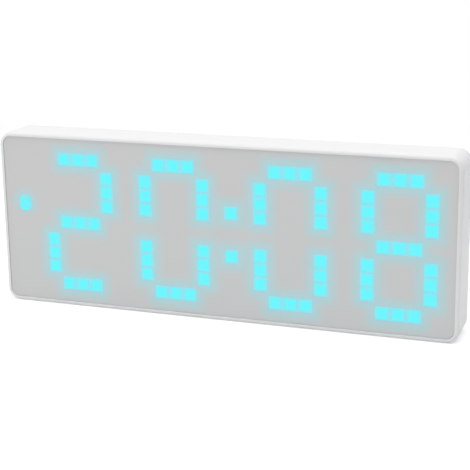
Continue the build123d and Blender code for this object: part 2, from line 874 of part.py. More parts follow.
for name, x in zip(button_names, button_places):
    with BuildPart() as button:
        with BuildSketch(face_plane(flange_top - button_flange)):
            with Locations((x, button_rise)):
                Rectangle(
                    button_width + 2 * button_flange_lip + 2 * moving_gap,
                    button_height + 2 * button_flange_lip + 2 * moving_gap,
                )
        extrude(amount=button_flange, dir=rearward)
        with BuildSketch(face_plane(flange_top)) as cap_sketch:
            with Locations((x, button_rise)):
                Rectangle(button_width, button_height)
            chamfer(cap_sketch.vertices(), length=button_corner)
        extrude(amount=cap_top - flange_top, dir=rearward)
        chamfer(button.faces().sort_by(Axis.Y)[-1].edges(), length=button_chamfer)
        with BuildSketch(face_plane(plunger_top)):
            with Locations((x, button_rise)):
                small_round(button_stem_radius)
        extrude(amount=flange_top - plunger_top, dir=rearward)
    button.part.label = name + "_button"
    export_step(button.part, "parts/" + name + "_button.step")

    with BuildPart() as plunger:
        with BuildSketch(face_plane(board_back + switch_floor + button_travel + moving_gap)):
            with Locations((x, button_rise)):
                small_round(switch_plunger_radius)
        plunger_length = plunger_top - board_back - switch_floor - button_travel - moving_gap
        extrude(amount=plunger_length, dir=rearward)
    plunger.part.label = name + "_plunger"
    export_step(plunger.part, "parts/" + name + "_plunger.step")

with BuildPart() as switch_bases:
    with BuildSketch(face_plane(board_back)):
        with Locations(*[(x, button_rise) for x in button_places]):
            Rectangle(switch_side, switch_side)
    extrude(amount=switch_height, dir=rearward)
    with BuildSketch(face_plane(board_back + switch_floor)):
        with Locations(*[(x, button_rise) for x in button_places]):
            small_round(switch_plunger_radius + switch_plunger_gap)
    extrude(amount=switch_height - switch_floor, dir=rearward, mode=Mode.SUBTRACT)

switch_bases.part.label = "switch_bases"
export_step(switch_bases.part, "parts/switch_bases.step")


# Backup cell: door, cell, holder and contacts, from the outside in
lug_top = cover_inner - seat_gap
lug_bottom = lug_top - door_lug_thickness
cell_top = lug_bottom - moving_gap
cell_bottom = cell_top - coin_cell_thickness

with BuildPart() as battery_door:
    with BuildSketch(bay_plane(door_seat + seat_gap)):
        Circle(door_radius)
    extrude(amount=door_flange, dir=rearward)
    chamfer(battery_door.faces().sort_by(Axis.Y)[-1].edges(), length=door_edge_chamfer)
    with BuildSketch(bay_plane(lug_bottom)):
        RegularPolygon(door_neck_radius, 2 * medium_round_sides)
    extrude(amount=door_seat + seat_gap - lug_bottom, dir=rearward)
    with BuildSketch(bay_plane(lug_bottom)):
        lug_shapes(lug_outer, door_lug_width, 0)
    extrude(amount=door_lug_thickness, dir=rearward)
    with BuildSketch(bay_plane(body_depth)):
        Rectangle(coin_slot_length, coin_slot_width)
    extrude(amount=coin_slot_depth, dir=forward, mode=Mode.SUBTRACT)

battery_door.part.label = "battery_door"
export_step(battery_door.part, "parts/battery_door.step")

with BuildPart() as coin_cell:
    with BuildSketch(bay_plane(cell_bottom)):
        medium_round(coin_cell_radius - coin_cell_rim)
    extrude(amount=coin_cell_step, dir=rearward)
    with BuildSketch(bay_plane(cell_bottom + coin_cell_step)):
        medium_round(coin_cell_radius)
    extrude(amount=coin_cell_thickness - coin_cell_step, dir=rearward)

coin_cell.part.label = "coin_cell"
export_step(coin_cell.part, "parts/coin_cell.step")

holder_inner = coin_cell_radius + holder_gap
holder_outer = holder_inner + holder_wall
cup_floor = cell_bottom - 2 * contact_thickness
contact_slot = contact_thickness + holder_gap
with BuildPart() as cell_holder:
    with BuildSketch(bay_plane(board_back)):
        Rectangle(2 * holder_outer, 2 * holder_outer)
    extrude(amount=cell_top - board_back - seat_gap, dir=rearward)
    with BuildSketch(bay_plane(cup_floor)):
        medium_round(holder_inner, around=True)
    extrude(amount=cell_top - cup_floor, dir=rearward, mode=Mode.SUBTRACT)
    with BuildSketch(bay_plane(board_back)):
        Rectangle(2 * holder_outer - 2 * holder_wall, 2 * holder_outer - 2 * holder_wall)
    extrude(amount=cup_floor - holder_floor - board_back, dir=rearward, mode=Mode.SUBTRACT)
    with BuildSketch(bay_plane(board_back)):
        with Locations((0, holder_inner)):
            Rectangle(contact_width + 2 * seat_gap, 2 * contact_slot)
    extrude(amount=cell_top - board_back, dir=rearward, mode=Mode.SUBTRACT)
    with BuildSketch(bay_plane(cup_floor - holder_floor)):
        Rectangle(contact_width + 2 * seat_gap, contact_width / 2)
    extrude(amount=holder_floor, dir=rearward, mode=Mode.SUBTRACT)

cell_holder.part.label = "cell_holder"
export_step(cell_holder.part, "parts/cell_holder.step")

with BuildPart() as plus_contact:
    with BuildSketch(bay_plane(board_back)):
        with Locations((0, coin_cell_radius + contact_thickness)):
            Rectangle(contact_width, contact_thickness)
    extrude(amount=cell_top - seat_gap - board_back, dir=rearward)

plus_contact.part.label = "plus_contact"
export_step(plus_contact.part, "parts/plus_contact.step")

with BuildPart() as minus_contact:
    with BuildSketch(bay_plane(board_back)):
        Rectangle(contact_width, contact_thickness)
    extrude(amount=cell_bottom - contact_thickness - board_back, dir=rearward)
    with BuildSketch(bay_plane(cell_bottom - contact_thickness)):
        Rectangle(2 * contact_width, contact_width)
    extrude(amount=contact_thickness, dir=rearward)

minus_contact.part.label = "minus_contact"
export_step(minus_contact.part, "parts/minus_contact.step")
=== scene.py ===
"""Gives the desk clock its finishes, lights, keys, screws and socket, and sets its stage."""
import math

import bmesh
import bpy
from bpy.props import FloatProperty, FloatVectorProperty, PointerProperty
from mathutils import Matrix, Vector


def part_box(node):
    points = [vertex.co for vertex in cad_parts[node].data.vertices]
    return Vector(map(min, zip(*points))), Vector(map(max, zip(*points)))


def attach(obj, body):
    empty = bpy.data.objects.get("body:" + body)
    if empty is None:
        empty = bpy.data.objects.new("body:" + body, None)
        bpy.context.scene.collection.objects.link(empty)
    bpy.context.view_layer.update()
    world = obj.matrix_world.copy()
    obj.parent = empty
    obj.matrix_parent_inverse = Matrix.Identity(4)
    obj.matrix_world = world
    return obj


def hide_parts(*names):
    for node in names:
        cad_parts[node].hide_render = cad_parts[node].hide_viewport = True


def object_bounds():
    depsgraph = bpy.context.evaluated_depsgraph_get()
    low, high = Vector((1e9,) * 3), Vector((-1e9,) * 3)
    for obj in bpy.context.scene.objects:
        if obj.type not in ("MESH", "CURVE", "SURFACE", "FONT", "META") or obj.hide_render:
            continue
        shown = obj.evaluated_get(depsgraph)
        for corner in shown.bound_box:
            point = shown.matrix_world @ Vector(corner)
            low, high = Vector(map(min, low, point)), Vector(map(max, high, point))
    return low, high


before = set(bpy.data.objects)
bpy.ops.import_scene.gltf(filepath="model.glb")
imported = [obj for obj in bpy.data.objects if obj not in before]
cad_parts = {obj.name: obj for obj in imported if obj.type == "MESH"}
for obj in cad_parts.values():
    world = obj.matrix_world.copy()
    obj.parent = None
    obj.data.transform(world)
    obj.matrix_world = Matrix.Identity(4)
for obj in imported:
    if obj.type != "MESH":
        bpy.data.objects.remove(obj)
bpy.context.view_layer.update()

bl_info = {
    "name": "Desk Clock Looks",
    "version": (1, 0, 0),
    "blender": (4, 5, 0),
    "location": "View3D > Sidebar > Desk Clock",
    "description": "Finishes, light squares, marks and stage of a slim desk clock",
    "category": "Object",
}

MM = 0.001
TINY = 0.001 * MM
KEYS = ["mode", "alarm", "down", "up"]
CONTACTS = 8
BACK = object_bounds()[1].y
DOOR_TWIST = math.radians(45)
AROUND = ["top", "bottom", "upper_left", "upper_right", "lower_left", "lower_right"]
LIT_BARS = {
    "lit_hour_tens": ["top", "upper_right", "middle", "lower_left", "bottom"],
    "lit_hour_units": AROUND,
    "lit_minute_tens": AROUND,
    "lit_minute_units": AROUND + ["middle"],
    "lit_colon": ["upper_dot", "lower_dot"],
}

WHITE = (1.0, 1.0, 1.0, 1.0)
BLACK = (0.0, 0.0, 0.0, 1.0)
PLASTIC_GLOSS = 0.4
PANEL_GLOSS = 0.25
LIGHT_ROUGHNESS = 0.5
CLOUD_SCALE = 22.0
FLECK_SCALE = 900.0
PANEL_GRAIN_SCALE = 3200.0
CIRCLE_SIDES = 32
SPIN_STEPS = 48
THREAD_STEPS = 16
LAMPS = [
    ("overhead", (0.1, -0.15, 1.25), (1.6, 1.2)),
    ("left", (-1.1, 0.1, 0.35), (0.7, 0.7)),
    ("front", (-0.6, -1.1, 0.3), (0.7, 0.7)),
]
LAMP_AIM = Vector((0, 0, 0.04))
CAMERA_PLACE = (0.18343, -0.48813, 0.17185)
CAMERA_DEGREES = (75.2506, 0.7394, 19.9677)
CAMERA_SHIFT = (-0.00413, -0.00272)
SENSOR_WIDTH = 36.0
NEAREST_SEEN = 0.01


def length(name, default, description):
    """A size in metres, shown in the sidebar."""
    return FloatProperty(
        name=name, description=description, default=default, subtype="DISTANCE", unit="LENGTH"
    )


def colour(name, default, description):
    """A plain colour, shown in the sidebar."""
    return FloatVectorProperty(
        name=name, description=description, default=default, size=3, subtype="COLOR",
        min=0.0, max=1.0,
    )


def number(name, default, description, unit="NONE"):
    """A number, plain or in watts or in millimetres of lens, shown in the sidebar."""
    return FloatProperty(name=name, description=description, default=default, unit=unit)


class ShellFinish(bpy.types.PropertyGroup):
    """The white moulded plastic of the shells and keys."""

    white: colour("White", (0.83, 0.83, 0.835), "Colour of the shells")
    key_white: colour("Key white", (0.80, 0.80, 0.81), "Colour of the rear keys")
    roughness: number("Roughness", 0.42, "How matt the shells are")
    grain_size: length("Grain size", 0.35 * MM, "Distance between the bumps of the fine grain")
    grain_depth: length("Grain depth", 0.03 * MM, "Height of the fine grain")
    rear_grain: number("Rear grain", 1.6, "How many times deeper the grain is at the rear")
    rear_matt: number("Rear matt", 0.06, "How much rougher the rear is")
    key_shine: number("Key shine", 0.08, "How much smoother the keys are")


class PanelFinish(bpy.types.PropertyGroup):
    """The grey translucent panel, the painted shade along its edge and the painted light that
    spreads in it.
    """

    grey: colour("Grey", (0.666, 0.666, 0.666), "Colour of the unlit panel")
    # Painted shade: the panel is made darker along its edge, standing in for the shade that the rim
    # casts on it.
    edge_shade_grey: colour("Edge grey", (0.655, 0.655, 0.655), "Colour of the panel along its edge")
    edge_shade_reach: length("Edge reach", 2.4 * MM, "Width of the strip along the panel's edge")
    # Painted light: the halo colour and the glow stand in for the light of the bars and of the alarm
    # sign spreading in the panel beside them.
    halo: colour("Halo", (0.51, 0.71, 0.72), "Colour of the panel beside a light bar")
    glow: colour("Glow", (0.0, 0.045, 0.07), "Light that the panel gives off beside a bar")
    halo_reach: length("Halo reach", 6.2 * MM, "How far the light spreads beside a bar")
    sign_halo: number("Sign halo", 0.8, "Strength of the light beside the alarm sign")
    sign_reach: length("Sign reach", 8.06 * MM, "How far the sign's light spreads")
    sign_core: length("Sign core", 2.805 * MM, "Radius of the sign's full light")
    sign_lift: length("Sign lift", 0.8 * MM, "Middle of the sign's light above the sign's own")
    sign_blur: length("Sign blur", 0.35 * MM, "How far the sign's light fills its outline")
    # Painted light: the gap colour and the gap glow stand in for the light between the squares of a
    # lit bar and inside the sign's outline.
    gap: colour("Gap", (0.30, 0.62, 0.65), "Colour of the panel between the squares of a bar")
    gap_glow: colour("Gap glow", (0.05, 0.23, 0.29), "Light of the panel between the squares")
    gap_reach: length("Gap reach", 0.5 * MM, "How far the light between the squares spreads")
    roughness: number("Roughness", 0.53, "How matt the panel is")
    grain_depth: length("Grain depth", 0.012 * MM, "Height of the panel's grain")


class LightSquares(bpy.types.PropertyGroup):
    """The light squares and how they stand in a digit."""

    core: colour("Core", (0.09, 0.80, 0.86), "Light of a square's middle")
    rim: colour("Rim", (0.20, 0.71, 0.79), "Light of a square's soft edge")
    body: colour("Body", (0.05, 0.12, 0.12), "Colour of a square under other light")
    side: length("Side", 5.1 * MM, "Side of a square")
    corner: length("Corner", 0.7 * MM, "Corner radius of a square")
    soft_edge: length("Soft edge", 1.0 * MM, "Width of a square's soft edge")
    bar_pitch: length("Bar pitch", 6.5 * MM, "Distance between squares along a level bar")
    column_pitch: length("Column pitch", 6.0 * MM, "Distance between squares up a column")
    column_start: length("Column start", 7.9 * MM, "First column square above the middle bar")


class RearDetails(bpy.types.PropertyGroup):
    """The keys, their marks, the screws and the socket at the rear."""

    ink: colour("Ink", (0.33, 0.33, 0.34), "Colour of the marks")
    cap_width: length("Cap width", 10.0 * MM, "Width of a key's cap")
    cap_height: length("Cap height", 5.0 * MM, "Height of a key's cap")
    cap_depth: length("Cap depth", 3.3 * MM, "Depth of a key's cap in front of its flange")
    cap_corner: length("Cap corner", 2.0 * MM, "Corner radius of a key's cap")
    cap_edge: length("Cap edge", 0.5 * MM, "Rounding of a cap's rear edge")
    flange: length("Flange", 0.8 * MM, "Thickness of a key's flange")
    stem: length("Stem", 1.5 * MM, "Radius of a key's stem")
    mark: length("Mark", 1.45 * MM, "Half the width of a key's mark")
    line: length("Line", 0.36 * MM, "Line width of the marks")
    mark_height: length("Mark height", 0.06 * MM, "How far a mark stands on its key")
    mark_sink: length("Mark sink", 0.02 * MM, "How deep a mark sits in its key")
    head_radius: length("Head radius", 2.4 * MM, "Radius of a screw head")
    head_height: length("Head height", 1.8 * MM, "Height of a screw head")
    head_round: length("Head rounding", 0.8 * MM, "Rounding of a screw head")
    recess_reach: length("Recess reach", 1.35 * MM, "Half the length of a screw's cross recess")
    recess_arm: length("Recess arm", 0.34 * MM, "Half the width of a cross recess's arms")
    recess_depth: length("Recess depth", 1.1 * MM, "Depth of a cross recess")
    screw_radius: length("Screw radius", 1.3 * MM, "Radius over a screw's thread")
    screw_core: length("Screw core", 1.0 * MM, "Radius of a screw under its thread")
    thread_pitch: length("Thread pitch", 1.1 * MM, "Distance between a screw's turns")
    point: length("Point", 1.2 * MM, "Length of a screw's point")
    shell_wall: length("Shell wall", 0.3 * MM, "Wall of the socket's metal shell")
    tongue_width: length("Tongue width", 6.7 * MM, "Width of the socket's tongue")
    tongue_thickness: length("Tongue thickness", 0.7 * MM, "Thickness of the socket's tongue")
    door_mark_ring: length("Door mark ring", 15.4 * MM, "Distance of the marks from the door")
    door_mark: length("Door mark", 0.75 * MM, "Radius of the marks beside the door")


class StageSettings(bpy.types.PropertyGroup):
    """Floor, lamps and camera."""

    floor_side: length("Floor side", 6.0, "Side of the floor")
    floor_white: colour("Floor white", (0.82, 0.82, 0.82), "Colour of the floor")
    lift: number("Floor lift", 0.36, "White added to the floor for the camera alone")
    white_from: length("White from", 0.16, "Distance at which the floor starts to turn white")
    white_at: length("White at", 0.5, "Distance at which the floor is all white")
    world: number("World", 0.432, "Strength of the even light from all round")
    overhead: number("Overhead", 12.2, "Power of the soft lamp above", "POWER")
    left: number("Left", 2.5, "Power of the soft lamp at the left", "POWER")
    front: number("Front", 1.9, "Power of the soft lamp in front", "POWER")
    focal_length: number("Focal length", 98.675, "Focal length on a 36 mm sensor", "CAMERA")


GROUPS = [
    ("shell_finish", ShellFinish),
    ("panel_finish", PanelFinish),
    ("light_squares", LightSquares),
    ("rear_details", RearDetails),
    ("stage_settings", StageSettings),
]


class Wire:
    """A shader socket that Python sums and products can be written with."""

    def __init__(self, shade, socket):
        self.shade = shade
        self.socket = socket

    def math(self, operation, *others):
        """A Math node of this socket and the others."""
        return self.shade.math(operation, self, *others)

    def __add__(self, other):
        return self.math("ADD", other)

    def __mul__(self, other):
        return self.math("MULTIPLY", other)

    def __sub__(self, other):
        return self.math("SUBTRACT", other)

    def __truediv__(self, other):
        return self.math("DIVIDE", other)

    def __rsub__(self, other):
        return self.shade.math("SUBTRACT", other, self)

    def __rtruediv__(self, other):
        return self.shade.math("DIVIDE", other, self)

    def __abs__(self):
        return self.math("ABSOLUTE")

    __radd__ = __add__
    __rmul__ = __mul__

    def max(self, other):
        """The larger of the two."""
        return self.math("MAXIMUM", other)

    def min(self, other):
        """The smaller of the two."""
        return self.math("MINIMUM", other)

    def from_point(self, other, here, there):
        """The distance of this and the other coordinate from a point."""
        across, up = self - here, other - there
        return (across * across + up * up).math("SQRT")

    def ramp(self, start, end):
        """0 below start, 1 above end, smooth between them; start may be the larger."""
        return self.shade.add(
            "ShaderNodeMapRange",
            {"interpolation_type": "SMOOTHSTEP", "clamp": True},
            {"Value": self, "From Min": start, "From Max": end},
        )


class Shade:
    """The node tree of one material, or of the world where one is given."""

    def __init__(self, name, world=None):
        self.holder = world or bpy.data.materials.new(name)
        self.holder.use_nodes = True
        self.tree = self.holder.node_tree
        self.tree.nodes.clear()
        end = "ShaderNodeOutputWorld" if world else "ShaderNodeOutputMaterial"
        self.end = self.tree.nodes.new(end)

    def add(self, kind, settings=None, inputs=None, output=0):
        """A node of this kind; its settings are set first, then its sockets' values or links."""
        node = self.tree.nodes.new(kind)
        for key, value in (settings or {}).items():
            setattr(node, key, value)
        pairs = inputs.items() if isinstance(inputs, dict) else enumerate(inputs or [])
        for key, value in pairs:
            if isinstance(value, Wire):
                self.tree.links.new(value.socket, node.inputs[key])
            else:
                node.inputs[key].default_value = value
        return Wire(self, node.outputs[output])

    def math(self, operation, *values):
        """A Math node of sockets and numbers."""
        return self.add("ShaderNodeMath", {"operation": operation}, values)

    def place(self):
        """Object coordinates, which are metres in the clock's own frame."""
        return self.add("ShaderNodeTexCoord", output="Object")

    def split(self, vector):
        """The X, Y and Z of a vector."""
        node = self.add("ShaderNodeSeparateXYZ", None, [vector]).socket.node
        return [Wire(self, socket) for socket in node.outputs]

    def noise(self, vector, scale, detail=2.0):
        """Soft noise between 0 and 1."""
        return self.add(
            "ShaderNodeTexNoise", None, {"Vector": vector, "Scale": scale, "Detail": detail}
        )

    def mix(self, factor, low, high):
        """A colour between low and high."""
        sockets = {"Factor": factor, 6: low, 7: high}
        return self.add("ShaderNodeMix", {"data_type": "RGBA"}, sockets, output=2)

    def bump(self, height, distance, strength=1.0):
        """A normal that a height in 0 to 1 tilts."""
        sockets = {"Height": height, "Distance": distance, "Strength": strength}
        return self.add("ShaderNodeBump", None, sockets)

    def seen(self):
        """1 for what the camera sees, straight, by gloss or through a clear surface, 0 for light."""
        kinds = ("Is Camera Ray", "Is Glossy Ray", "Is Transmission Ray")
        camera, gloss, through = [self.add("ShaderNodeLightPath", output=kind) for kind in kinds]
        return camera.max(gloss).max(through)

    def finish(self, shader):
        """Ends the tree with a shader, and gives its material or world."""
        self.tree.links.new(shader.socket, self.end.inputs["Surface"])
        return self.holder

    def surface(self, **sockets):
        """The Principled shader, with its socket names written with underscores."""
        named = {key.replace("_", " "): value for key, value in sockets.items()}
        return self.finish(self.add("ShaderNodeBsdfPrincipled", None, named))


def rgba(value, factor=1.0):
    """A colour with its alpha, made lighter or darker."""
    return (value[0] * factor, value[1] * factor, value[2] * factor, 1.0)


def swing(noise, middle, span):
    """A value that soft noise moves by up to half the span to either side of its middle."""
    return noise * span + (middle - span / 2)


def moulded_plastic(name, tint, roughness, grain_size, grain_depth, marks=None):
    """Matt plastic with a spark-eroded mould's fine grain, and on request marks on its rear."""
    shade = Shade(name)
    place = shade.place()
    grain = shade.noise(place, 1 / grain_size)
    cloud = shade.noise(place, CLOUD_SCALE, detail=1.0)
    dull, bright = 0.985, 1.01
    tinted = shade.mix(cloud, rgba(tint, dull), rgba(tint, bright))
    if marks:
        rear = bpy.context.scene.rear_details
        x, y, z = shade.split(place)
        ink_from, ink_full = BACK - 0.3 * MM, BACK - 0.1 * MM
        mask = marks(rear, x, z) * y.ramp(ink_from, ink_full)
        tinted = shade.mix(mask, tinted, rgba(rear.ink))
    return shade.surface(
        Base_Color=tinted,
        Roughness=swing(grain, roughness, span=0.08),
        Normal=shade.bump(grain, grain_depth, strength=0.5),
        Specular_IOR_Level=PLASTIC_GLOSS,
    )


def printed(distance):
    """1 where a distance to a printed shape is below 0, with a sharp but smooth edge."""
    edge = 0.03 * MM
    return distance.ramp(edge, -edge)


def cover_marks(rear, x, z):
    """A ring where the door's pointer stands when it is open, and a dot where it is shut."""
    spot = middle_of("battery_door")
    turned = rear.door_mark_ring * math.sin(DOOR_TWIST)
    open_at = x.from_point(z, spot.x + turned, spot.z + turned)
    shut_at = x.from_point(z, spot.x, spot.z + rear.door_mark_ring)
    line = abs(open_at - rear.door_mark) - rear.line / 2
    dot = shut_at - rear.door_mark
    return printed(line.min(dot))


def door_pointer(rear, x, z):
    """A small arrow head near the door's rim."""
    spot = middle_of("battery_door")
    gap, height, slope = 3.6 * rear.door_mark, 2.4 * rear.door_mark, 0.55
    tip = spot.z + rear.door_mark_ring - gap
    flank = abs(x - spot.x) - (tip - z) * slope
    foot = (tip - height) - z
    return printed(flank.max(foot))


def plain(name, tint, roughness, metallic=0.0):
    """A finish with fine clouding in its gloss and tint."""
    shade = Shade(name)
    cloud = shade.noise(shade.place(), FLECK_SCALE, detail=3.0)
    dull, bright = 0.93, 1.05
    return shade.surface(
        Base_Color=shade.mix(cloud, rgba(tint, dull), rgba(tint, bright)),
        Roughness=swing(cloud, roughness, span=0.14),
        Metallic=metallic,
        Normal=shade.bump(cloud, 0.006 * MM, strength=0.4),
    )


def board_material():
    """Green solder mask over faint copper tracks."""
    shade = Shade("solder_mask")
    mask_green, track_green = (0.02, 0.17, 0.07), (0.05, 0.28, 0.12)
    grid = {
        "Vector": shade.place(), "Scale": 120.0, "Mortar Size": 0.06, "Mortar Smooth": 0.1,
        "Color1": BLACK, "Color2": BLACK, "Mortar": WHITE,
    }
    tracks = shade.add("ShaderNodeTexBrick", None, grid, output="Fac")
    return shade.surface(
        Base_Color=shade.mix(tracks, rgba(mask_green), rgba(track_green)),
        Roughness=swing(tracks, 0.37, span=0.1),
        Normal=shade.bump(tracks, 0.03 * MM),
    )


def wear(names, material):
    """Gives CAD nodes a material."""
    for name in names:
        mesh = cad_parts[name].data
        mesh.materials.clear()
        mesh.materials.append(material)


def mesh_of(work, name):
    """The mesh of a bmesh, which is freed."""
    mesh = bpy.data.meshes.new(name)
    work.to_mesh(mesh)
    work.free()
    return mesh


def add_mesh(work, mesh, place):
    """Adds a copy of a mesh to a piece, moved to its place.

    The vertices past the known number are the copy's own only if the piece has lost none before.
    """
    known = len(work.verts)
    work.from_mesh(mesh)
    work.verts.ensure_lookup_table()
    bmesh.ops.translate(work, vec=place, verts=work.verts[known:])


def add_part(work, part, place=(0, 0, 0)):
    """Adds a finished part to a piece, moved to its place."""
    mesh = mesh_of(part, "part")
    add_mesh(work, mesh, place)
    bpy.data.meshes.remove(mesh)


def finish_piece(work, name, material, body, replaced=()):
    """Makes a finished piece of the clock from a bmesh."""
    if not work.faces:
        raise RuntimeError(name + " has no faces")
    bmesh.ops.remove_doubles(work, verts=work.verts, dist=TINY / 2)
    bmesh.ops.recalc_face_normals(work, faces=work.faces)
    mesh = mesh_of(work, name)
    mesh.materials.append(material)
    piece = bpy.data.objects.new(name, mesh)
    bpy.context.scene.collection.objects.link(piece)
    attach(piece, body)
    if replaced:
        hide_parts(*replaced)


def middle_of(node):
    """The middle of a CAD node's box."""
    low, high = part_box(node)
    return (low + high) / 2


def light_groups(node, squares):
    """The middles of a node's light squares, bar by bar, in the plane of the panel."""
    low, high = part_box(node)
    centre = middle_of(node)
    side_x = (high.x - low.x - squares.side) / 2
    top = (high.z - low.z - squares.side) / 2
    bar = [(step - 1) * squares.bar_pitch for step in range(3)]
    column = [squares.column_start + step * squares.column_pitch for step in range(3)]
    shapes = {
        "top": [(x, top) for x in bar],
        "middle": [(x, 0.0) for x in bar],
        "bottom": [(x, -top) for x in bar],
        "upper_left": [(-side_x, z) for z in column],
        "upper_right": [(side_x, z) for z in column],
        "lower_left": [(-side_x, -z) for z in column],
        "lower_right": [(side_x, -z) for z in column],
        "upper_dot": [(0.0, top)],
        "lower_dot": [(0.0, -top)],
    }
    return [[(centre.x + x, centre.z + z) for x, z in shapes[name]] for name in LIT_BARS[node]]


def light_boxes(squares):
    """The strips across and up that hold each lit bar and each square of the colon."""
    half = squares.side / 2
    boxes = []
    for node in LIT_BARS:
        for group in light_groups(node, squares):
            across, up = zip(*group)
            strip_x = (min(across) - half, max(across) + half)
            strip_z = (min(up) - half, max(up) + half)
            boxes.append((strip_x, strip_z))
    return boxes


def inside(coordinate, low, high):
    """How far a coordinate lies inside a strip, negative outside it."""
    return (high - low) / 2 - abs(coordinate - (low + high) / 2)


def bar_light(panel, squares, x, z):
    """The part of the panel that no bar's light reaches, and the light within the bars."""
    bands = {}

    def band(name, coordinate, strip):
        """A strip's light beside and in it, worked out once and used by every bar in the strip."""
        key = (name, round(strip[0] / MM, 2), round(strip[1] / MM, 2))
        if key not in bands:
            depth = inside(coordinate, *strip)
            bands[key] = (depth.ramp(-panel.halo_reach, 0.0), depth.ramp(-panel.gap_reach, 0.0))
        return bands[key]

    dark, gap = None, None
    for strip_x, strip_z in light_boxes(squares):
        wide_x, tight_x = band("across", x, strip_x)
        wide_z, tight_z = band("up", z, strip_z)
        unlit = 1.0 - wide_x * wide_z
        tight = tight_x * tight_z
        dark = unlit if dark is None else dark * unlit
        gap = tight if gap is None else gap.max(tight)
    return dark, gap


def sign_light(panel, x, z):
    """The light beside the alarm sign, and the light that fills its outline."""
    sign = middle_of("lit_alarm_sign")
    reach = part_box("lit_alarm_sign")[1] - sign
    light_z = sign.z + panel.sign_lift
    beside = x.from_point(z, sign.x, light_z).ramp(panel.sign_reach, panel.sign_core)
    across = (x - sign.x) / (reach.x + panel.sign_blur)
    up = (z - light_z) / (reach.z + panel.sign_blur)
    fill_end, fill_full = 1.1, 0.7
    return beside, across.from_point(up, 0.0, 0.0).ramp(fill_end, fill_full)


def panel_material(panel, squares):
    """Grey translucent plastic, with painted shade along its edge and painted light beside and
    within each bar.
    """
    shade = Shade("grey_light_panel")
    place = shade.place()
    x, _, z = shade.split(place)
    dark, gap = bar_light(panel, squares, x, z)
    beside_sign, in_sign = sign_light(panel, x, z)
    gap = gap.max(in_sign)
    halo = 1.0 - dark * (1.0 - beside_sign * panel.sign_halo)
    low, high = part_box("front_panel")
    inset = inside(x, low.x, high.x).min(inside(z, low.z, high.z))
    # Painted shade: the panel's colour turns darker within the edge reach of its edge.
    base = shade.mix(inset.ramp(panel.edge_shade_reach, 0.0), rgba(panel.grey), rgba(panel.edge_shade_grey))
    # Painted light: beside the bars and the sign, and between the squares, the panel is tinted and
    # gives off light, though it is no lamp.
    base = shade.mix(halo, base, rgba(panel.halo))
    glow = shade.mix(halo, BLACK, rgba(panel.glow))
    grain = shade.noise(place, PANEL_GRAIN_SCALE)
    return shade.surface(
        Base_Color=shade.mix(gap, base, rgba(panel.gap)),
        Roughness=swing(grain, panel.roughness, span=0.06),
        Normal=shade.bump(grain, panel.grain_depth, strength=0.4),
        Emission_Color=shade.mix(gap, glow, rgba(panel.gap_glow)),
        Emission_Strength=1.0,
        Specular_IOR_Level=PANEL_GLOSS,
    )


def lit_surface(shade, squares, light):
    """A smooth dark surface that gives off this light."""
    return shade.surface(
        Base_Color=rgba(squares.body),
        Roughness=LIGHT_ROUGHNESS,
        Emission_Color=light,
        Emission_Strength=1.0,
        Specular_IOR_Level=PANEL_GLOSS,
    )


def square_material(squares):
    """A lit square: bright in the middle, softer along its edge."""
    shade = Shade("cyan_light")
    u, v, _ = shade.split(shade.add("ShaderNodeUVMap", {"uv_map": "square"}))
    core = abs(u).max(abs(v)).ramp(1.0, 1.0 - 2 * squares.soft_edge / squares.side)
    return lit_surface(shade, squares, shade.mix(core, rgba(squares.rim), rgba(squares.core)))


def round_off(part, geom, radius, segments, affect="EDGES"):
    """Rounds the edges or the corners of a part."""
    bmesh.ops.bevel(
        part, geom=geom[:], offset=radius, segments=segments, profile=0.5, affect=affect,
        material=-1,
    )


def stand_up(part):
    """Turns a level part upright, so that it looks backwards."""
    turn = Matrix.Rotation(math.radians(-90), 3, "X")
    bmesh.ops.rotate(part, cent=(0, 0, 0), matrix=turn, verts=part.verts)


def level_sheet(width, height):
    """A level flat face, its middle at the origin."""
    part = bmesh.new()
    bmesh.ops.create_grid(part, x_segments=1, y_segments=1, size=0.5)
    bmesh.ops.scale(part, vec=(width, height, 1), verts=part.verts)
    return part


def rounded_sheet(width, height, corner, segments=6):
    """A flat face with rounded corners that looks backwards, its middle at the origin."""
    part = level_sheet(width, height)
    round_off(part, part.verts, corner, segments, "VERTICES")
    stand_up(part)
    return part


def pull_back(part, depth):
    """Pulls all the faces of a flat part backwards into a solid, and gives the pulled vertices."""
    pulled = bmesh.ops.extrude_face_region(part, geom=part.faces[:])
    rear = [item for item in pulled["geom"] if isinstance(item, bmesh.types.BMVert)]
    bmesh.ops.translate(part, vec=(0, depth, 0), verts=rear)
    return rear


def rounded_block(width, depth, height, corner, edge=0.0):
    """A block with rounded corners that stands backwards from the origin, its rear rim rounded."""
    part = rounded_sheet(width, height, corner)
    rear = set(pull_back(part, depth))
    if edge:
        round_off(part, [item for item in part.edges if set(item.verts) <= rear], edge, 4)
    return part


def disc(radius):
    """A flat disc that looks backwards, its middle at the origin."""
    part = bmesh.new()
    bmesh.ops.create_circle(part, cap_ends=True, segments=CIRCLE_SIDES, radius=radius)
    stand_up(part)
    return part


def round_bar(radius, depth):
    """A round bar that stands backwards from the origin."""
    part = disc(radius)
    pull_back(part, depth)
    return part


def full_spin(part, geom):
    """Spins a profile once round the Y axis."""
    bmesh.ops.spin(
        part, geom=geom, cent=(0, 0, 0), axis=(0, 1, 0), angle=math.tau, steps=SPIN_STEPS,
        use_merge=True,
    )


def flat_ring(radius, line, depth):
    """A ring of the radius along the middle of its line, standing backwards from the origin."""
    part = level_sheet(line, depth)
    bmesh.ops.translate(part, vec=(radius, depth / 2, 0), verts=part.verts)
    bmesh.ops.delete(part, geom=part.faces[:], context="FACES_ONLY")
    full_spin(part, part.edges[:] + part.verts[:])
    return part


